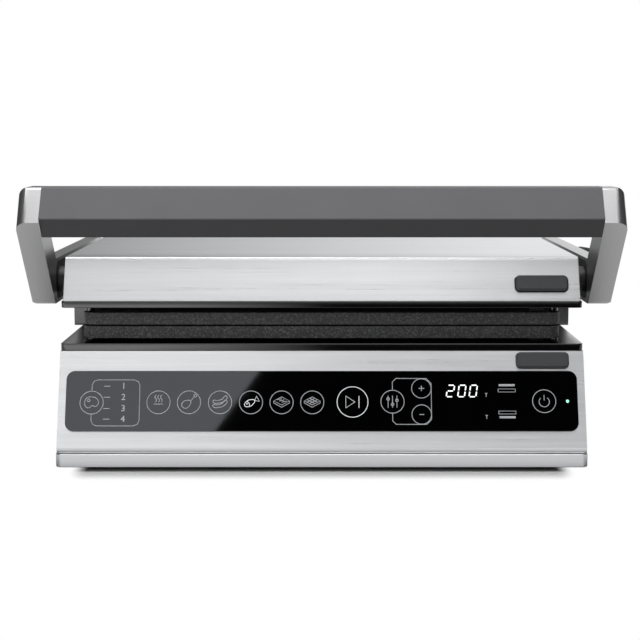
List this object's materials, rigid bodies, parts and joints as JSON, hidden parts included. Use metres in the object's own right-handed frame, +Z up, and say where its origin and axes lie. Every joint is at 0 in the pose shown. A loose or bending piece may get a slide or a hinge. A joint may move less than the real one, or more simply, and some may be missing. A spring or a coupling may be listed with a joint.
{
  "type": "electric contact grill",
  "caption": "Countertop contact grill: hot plates in base and lid, lid carried by a two-arm handle frame hinged at the rear, touch panel, plate release buttons, drip tray.",
  "frame": {"origin": "centre of the object's footprint box, on the surface the rubber feet stand on", "axes": "+Z up, +X to the right seen from the front, front panel and grip towards -Y"},
  "size_m": [0.4168, 0.31, 0.192],
  "materials": {
    "brushed_stainless": "brushed",
    "skirt_stainless": "satin",
    "diecast_arm": "satin",
    "grip_plastic": "matte",
    "black_gloss": "gloss",
    "black_plastic": "matte",
    "button_plastic": "satin",
    "panel_glass": "gloss",
    "grill_coating": "matte",
    "element_sheath": "satin",
    "aluminised_steel": "satin",
    "plain_steel": "satin",
    "bronze_bush": "satin",
    "circuit_board": "satin",
    "display_plastic": "matte",
    "lamp_lens": "gloss",
    "rubber_black": "matte",
    "sensor_brass": "satin"
  },
  "bodies": {
    "base": {"base_pan": "black_plastic", "base_skirt": "skirt_stainless", "base_shell": "brushed_stainless", "rear_cover": "black_plastic", "base_deck": "black_gloss", "rubber_feet": "rubber_black", "base_screws": "plain_steel", "cord_gland": "black_plastic", "control_glass": "panel_glass", "touch_board": "circuit_board", "display_block": "display_plastic", "power_lamp": "lamp_lens", "power_board": "circuit_board", "lower_plate": "grill_coating", "lower_heater": "element_sheath", "lower_reflector": "aluminised_steel", "lower_sensor": "sensor_brass", "grease_chute": "aluminised_steel", "hinge_bracket_left": "black_gloss", "hinge_bracket_right": "black_gloss", "hinge_pin_left": "plain_steel", "hinge_pin_right": "plain_steel", "lower_button_spring": "plain_steel"},
    "lower_button": {"lower_eject_button": "button_plastic"},
    "lower_latch": {"lower_latch": "plain_steel"},
    "drip_tray": {"drip_tray": "black_plastic"},
    "arm_frame": {"arm_left": "diecast_arm", "arm_right": "diecast_arm", "arm_cover_left": "black_plastic", "arm_cover_right": "black_plastic", "hinge_bush_left": "bronze_bush", "hinge_bush_right": "bronze_bush", "pivot_bolt_left": "plain_steel", "pivot_bolt_right": "plain_steel", "pivot_cap_left": "diecast_arm", "pivot_cap_right": "diecast_arm", "grip": "grip_plastic", "grip_core": "plain_steel", "grip_screws": "plain_steel", "lever_pin": "plain_steel"},
    "release_lever": {"release_lever": "black_plastic"},
    "lid": {"lid_cover": "brushed_stainless", "lid_frame": "black_gloss", "lid_screws": "plain_steel", "pivot_housing_left": "black_plastic", "pivot_housing_right": "black_plastic", "pivot_bush_left": "bronze_bush", "pivot_bush_right": "bronze_bush", "upper_plate": "grill_coating", "upper_heater": "element_sheath", "upper_reflector": "aluminised_steel", "upper_sensor": "sensor_brass", "upper_button_spring": "plain_steel"},
    "upper_button": {"upper_eject_button": "button_plastic"},
    "upper_latch": {"upper_latch": "plain_steel"}
  },
  "joints": [
    {"name": "lid_open", "type": "hinge", "parent": "base", "child": "arm_frame", "pos_m": [0, 0.135, 0.088], "axis": [-1, 0, 0], "range_deg": [0, 175]},
    {"name": "lid_float", "type": "hinge", "parent": "arm_frame", "child": "lid", "pos_m": [0, -0.0695, 0.123], "axis": [-1, 0, 0], "range_deg": [0, 5.01]},
    {"name": "release_lever_turn", "type": "hinge", "parent": "arm_frame", "child": "release_lever", "pos_m": [0.206, 0.0465, 0.127], "axis": [1, 0, 0], "range_deg": [0, 8], "stiffness_Nm_per_rad": 0.15, "springref_deg": -2.86},
    {"name": "lower_button_press", "type": "slide", "parent": "base", "child": "lower_button", "axis": [0, 0.9342, -0.3567], "range_m": [0, 0.003], "stiffness_N_per_m": 500, "springref_m": -0.001, "deforming": ["lower_button_spring"]},
    {"name": "lower_latch_slide", "type": "slide", "parent": "base", "child": "lower_latch", "axis": [-1, 0, 0], "range_m": [0, 0.003]},
    {"name": "upper_button_press", "type": "slide", "parent": "lid", "child": "upper_button", "axis": [0, 0.91, -0.4147], "range_m": [0, 0.003], "stiffness_N_per_m": 500, "springref_m": -0.001, "deforming": ["upper_button_spring"]},
    {"name": "upper_latch_slide", "type": "slide", "parent": "lid", "child": "upper_latch", "axis": [-1, 0, 0], "range_m": [0, 0.003]},
    {"name": "drip_tray_slide", "type": "slide", "parent": "base", "child": "drip_tray", "axis": [0, 1, 0], "range_m": [0, 0.13]}
  ],
  "couplings": [
    {"joint": "lid_float", "follows": "lid_open", "ratio": 0.028571},
    {"joint": "lower_latch_slide", "follows": "lower_button_press", "ratio": 0.9342},
    {"joint": "upper_latch_slide", "follows": "upper_button_press", "ratio": 0.90996}
  ]
}
